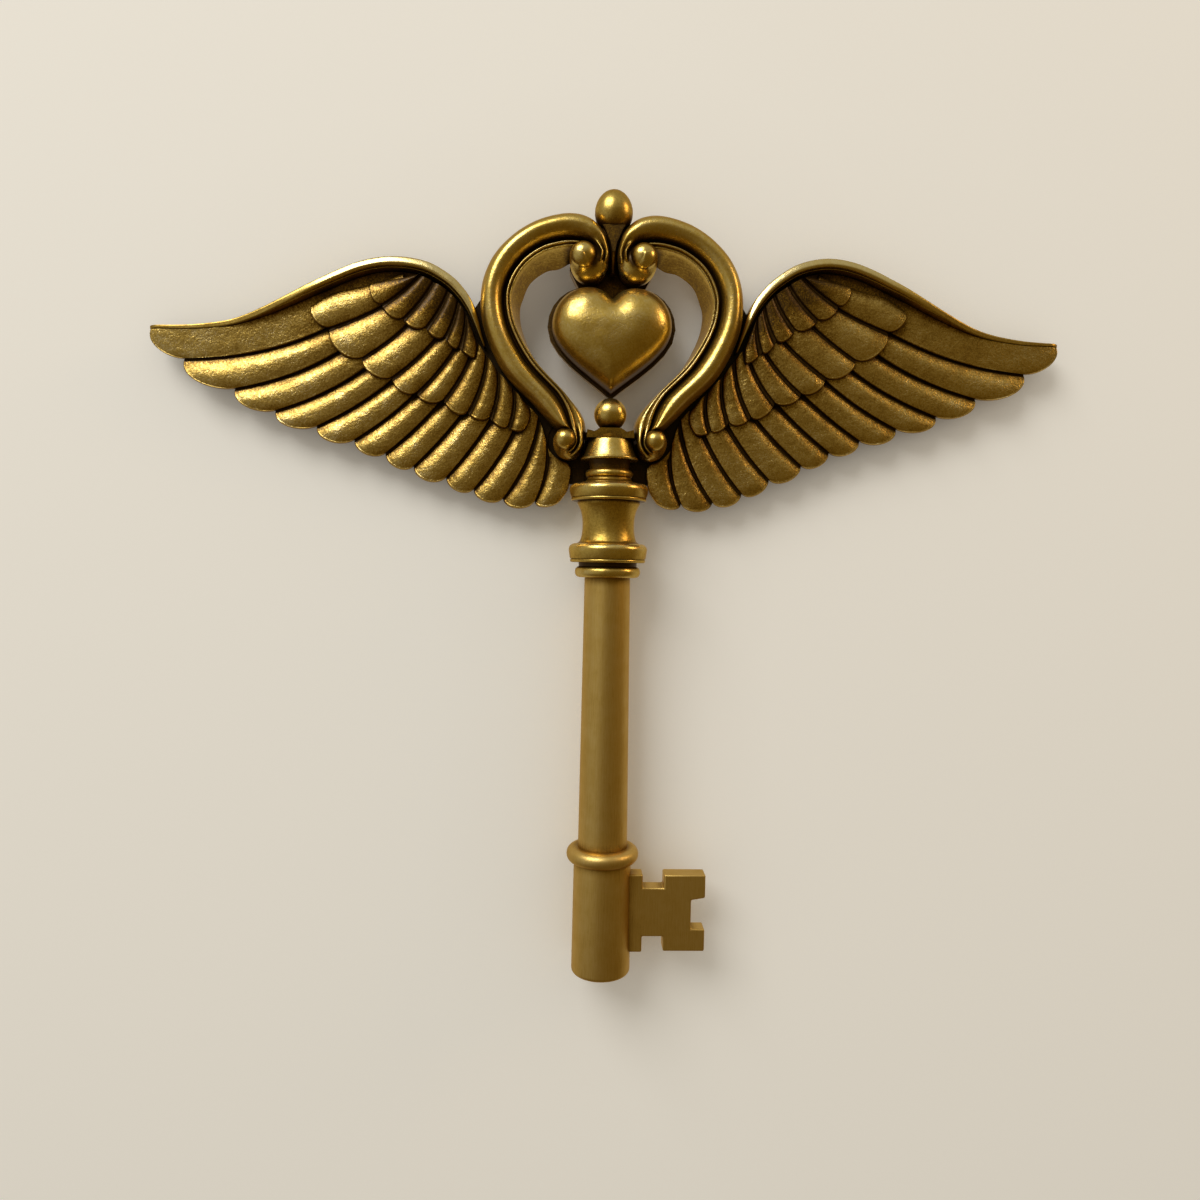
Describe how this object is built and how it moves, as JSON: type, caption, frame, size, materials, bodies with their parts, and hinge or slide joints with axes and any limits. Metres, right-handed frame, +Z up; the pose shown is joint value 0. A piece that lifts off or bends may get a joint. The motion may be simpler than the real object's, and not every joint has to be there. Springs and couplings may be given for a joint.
{
  "type": "decorative winged wall key",
  "caption": "Cast metal wall ornament shaped as a key: domed heart framed by scrolls, a spread wing on either side, turned collar, round shank and warded bit, keyhole hanger behind.",
  "frame": {"origin": "middle of the hanger plate's entry hole, on the plane of the wall", "axes": "+X along the wingspan towards the side the bit points to, +Z up, +Y into the wall, so the front faces -Y"},
  "size_m": [0.402, 0.0345, 0.3431],
  "materials": {
    "gold": "antique gold, rubbed bright on the high places, dark in the hollows",
    "bright_gold": "antique gold, polished",
    "brushed_gold": "matte gold, finely brushed",
    "dark_gold": "dark brown patina",
    "steel": "zinc plated"
  },
  "bodies": {
    "root": {"finial_ball": "bright_gold", "crown_block": "dark_gold", "left_scroll": "gold", "right_scroll": "gold", "upper_left_pearl": "bright_gold", "upper_right_pearl": "bright_gold", "lower_left_pearl": "bright_gold", "lower_right_pearl": "bright_gold", "heart_front": "gold", "heart_back": "dark_gold", "heart_screws": "steel", "crown_screws": "steel", "saddle": "dark_gold", "saddle_screws": "steel", "heart_pearl": "bright_gold", "flared_cup": "gold", "neck_bead": "gold", "upper_ring": "bright_gold", "baluster": "gold", "lower_ring": "bright_gold", "ferrule_ring": "bright_gold", "tie_rod": "steel", "shank_plug": "steel", "shank": "brushed_gold", "barrel_ring": "bright_gold", "barrel": "brushed_gold", "bit": "brushed_gold", "bit_pins": "steel", "left_wing_plate": "dark_gold", "right_wing_plate": "dark_gold", "left_wing_rim": "bright_gold", "right_wing_rim": "bright_gold", "left_primaries": "gold", "right_primaries": "gold", "left_coverts": "gold", "right_coverts": "gold", "left_lesser_coverts": "gold", "right_lesser_coverts": "gold", "left_wing_screws": "steel", "right_wing_screws": "steel", "hanger_plate": "steel", "hanger_screws": "steel"}
  },
  "joints": []
}
